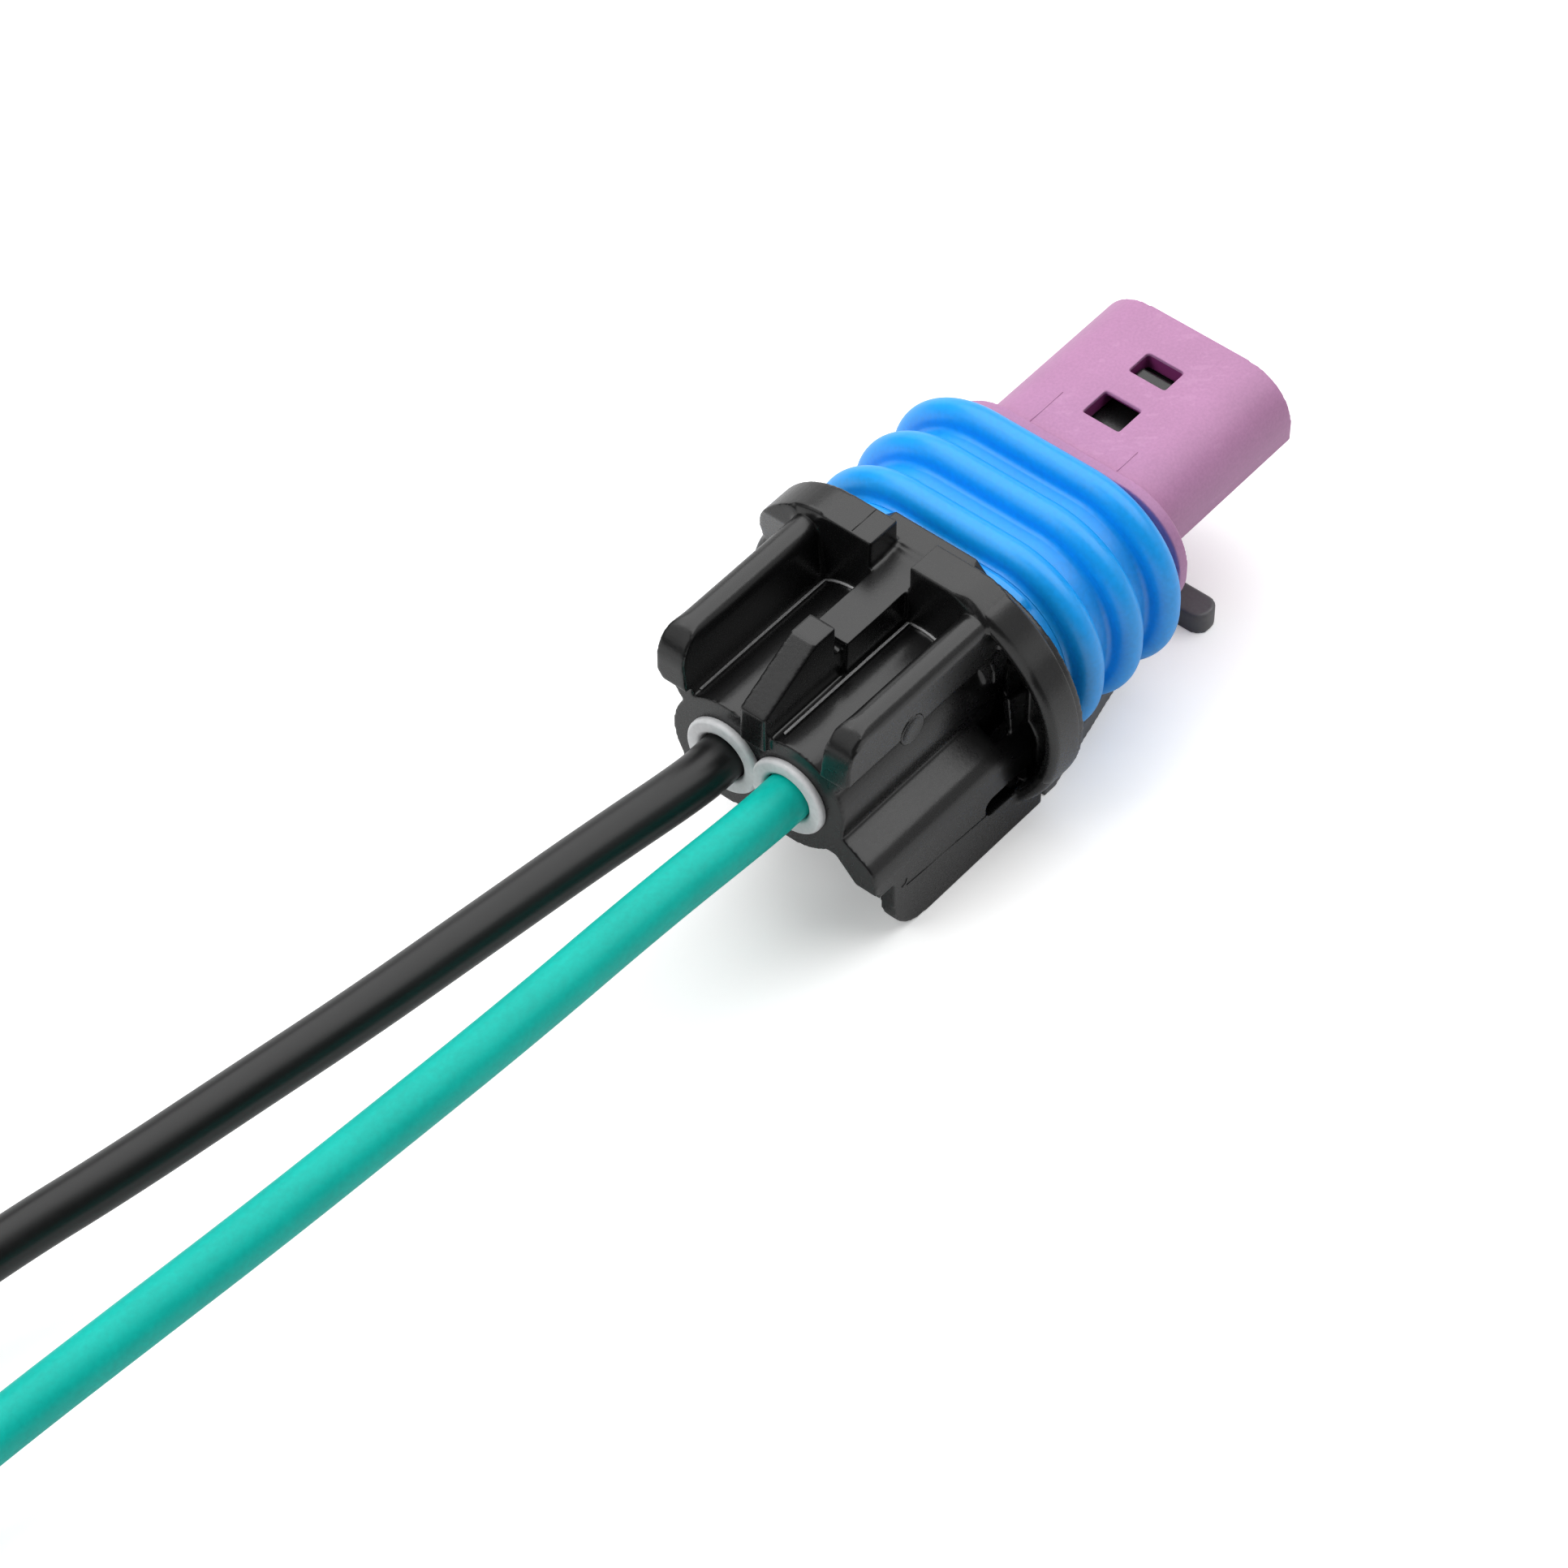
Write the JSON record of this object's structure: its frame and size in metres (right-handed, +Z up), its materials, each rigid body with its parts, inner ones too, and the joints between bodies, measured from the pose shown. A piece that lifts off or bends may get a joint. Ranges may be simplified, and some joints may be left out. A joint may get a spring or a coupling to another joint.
{
  "type": "automotive connector",
  "caption": "Sealed two-lead automotive connector with a ribbed perimeter seal, a sliding front retainer, a hinged lock lever and short sealed leads.",
  "frame": {"origin": "middle of the connector's bounding box, without the leads, on the surface it rests on", "axes": "+X along the connector towards its nose, +Y to the left seen from behind, +Z up, with the lock lever underneath"},
  "size_m": [0.1645, 0.0246, 0.016],
  "materials": {
    "housing_black": "fine moulded grain",
    "lever_black": "fine moulded grain",
    "seal_blue": "satin silicone",
    "retainer_purple": "satin",
    "cable_seal_grey": "satin silicone",
    "terminal_tin": "tin plated",
    "copper_core": "bare strands",
    "lead_black": "smooth insulation",
    "lead_green": "smooth insulation"
  },
  "bodies": {
    "housing": {"connector_housing": "housing_black", "perimeter_seal": "seal_blue", "cable_seal_left": "cable_seal_grey", "cable_seal_right": "cable_seal_grey", "terminal_left": "terminal_tin", "terminal_right": "terminal_tin", "conductor_left": "copper_core", "conductor_right": "copper_core", "lead_black": "lead_black", "lead_green": "lead_green"},
    "lever": {"lock_lever": "lever_black"},
    "retainer": {"front_retainer": "retainer_purple"}
  },
  "joints": [
    {"name": "lever_pivot", "type": "hinge", "parent": "housing", "child": "lever", "pos_m": [-0.006, 0, 0.0017], "axis": [0, 1, 0], "range_deg": [0, 6], "stiffness_Nm_per_rad": 0.02},
    {"name": "retainer_slide", "type": "slide", "parent": "housing", "child": "retainer", "axis": [1, 0, 0], "range_m": [0, 0.0038]}
  ]
}
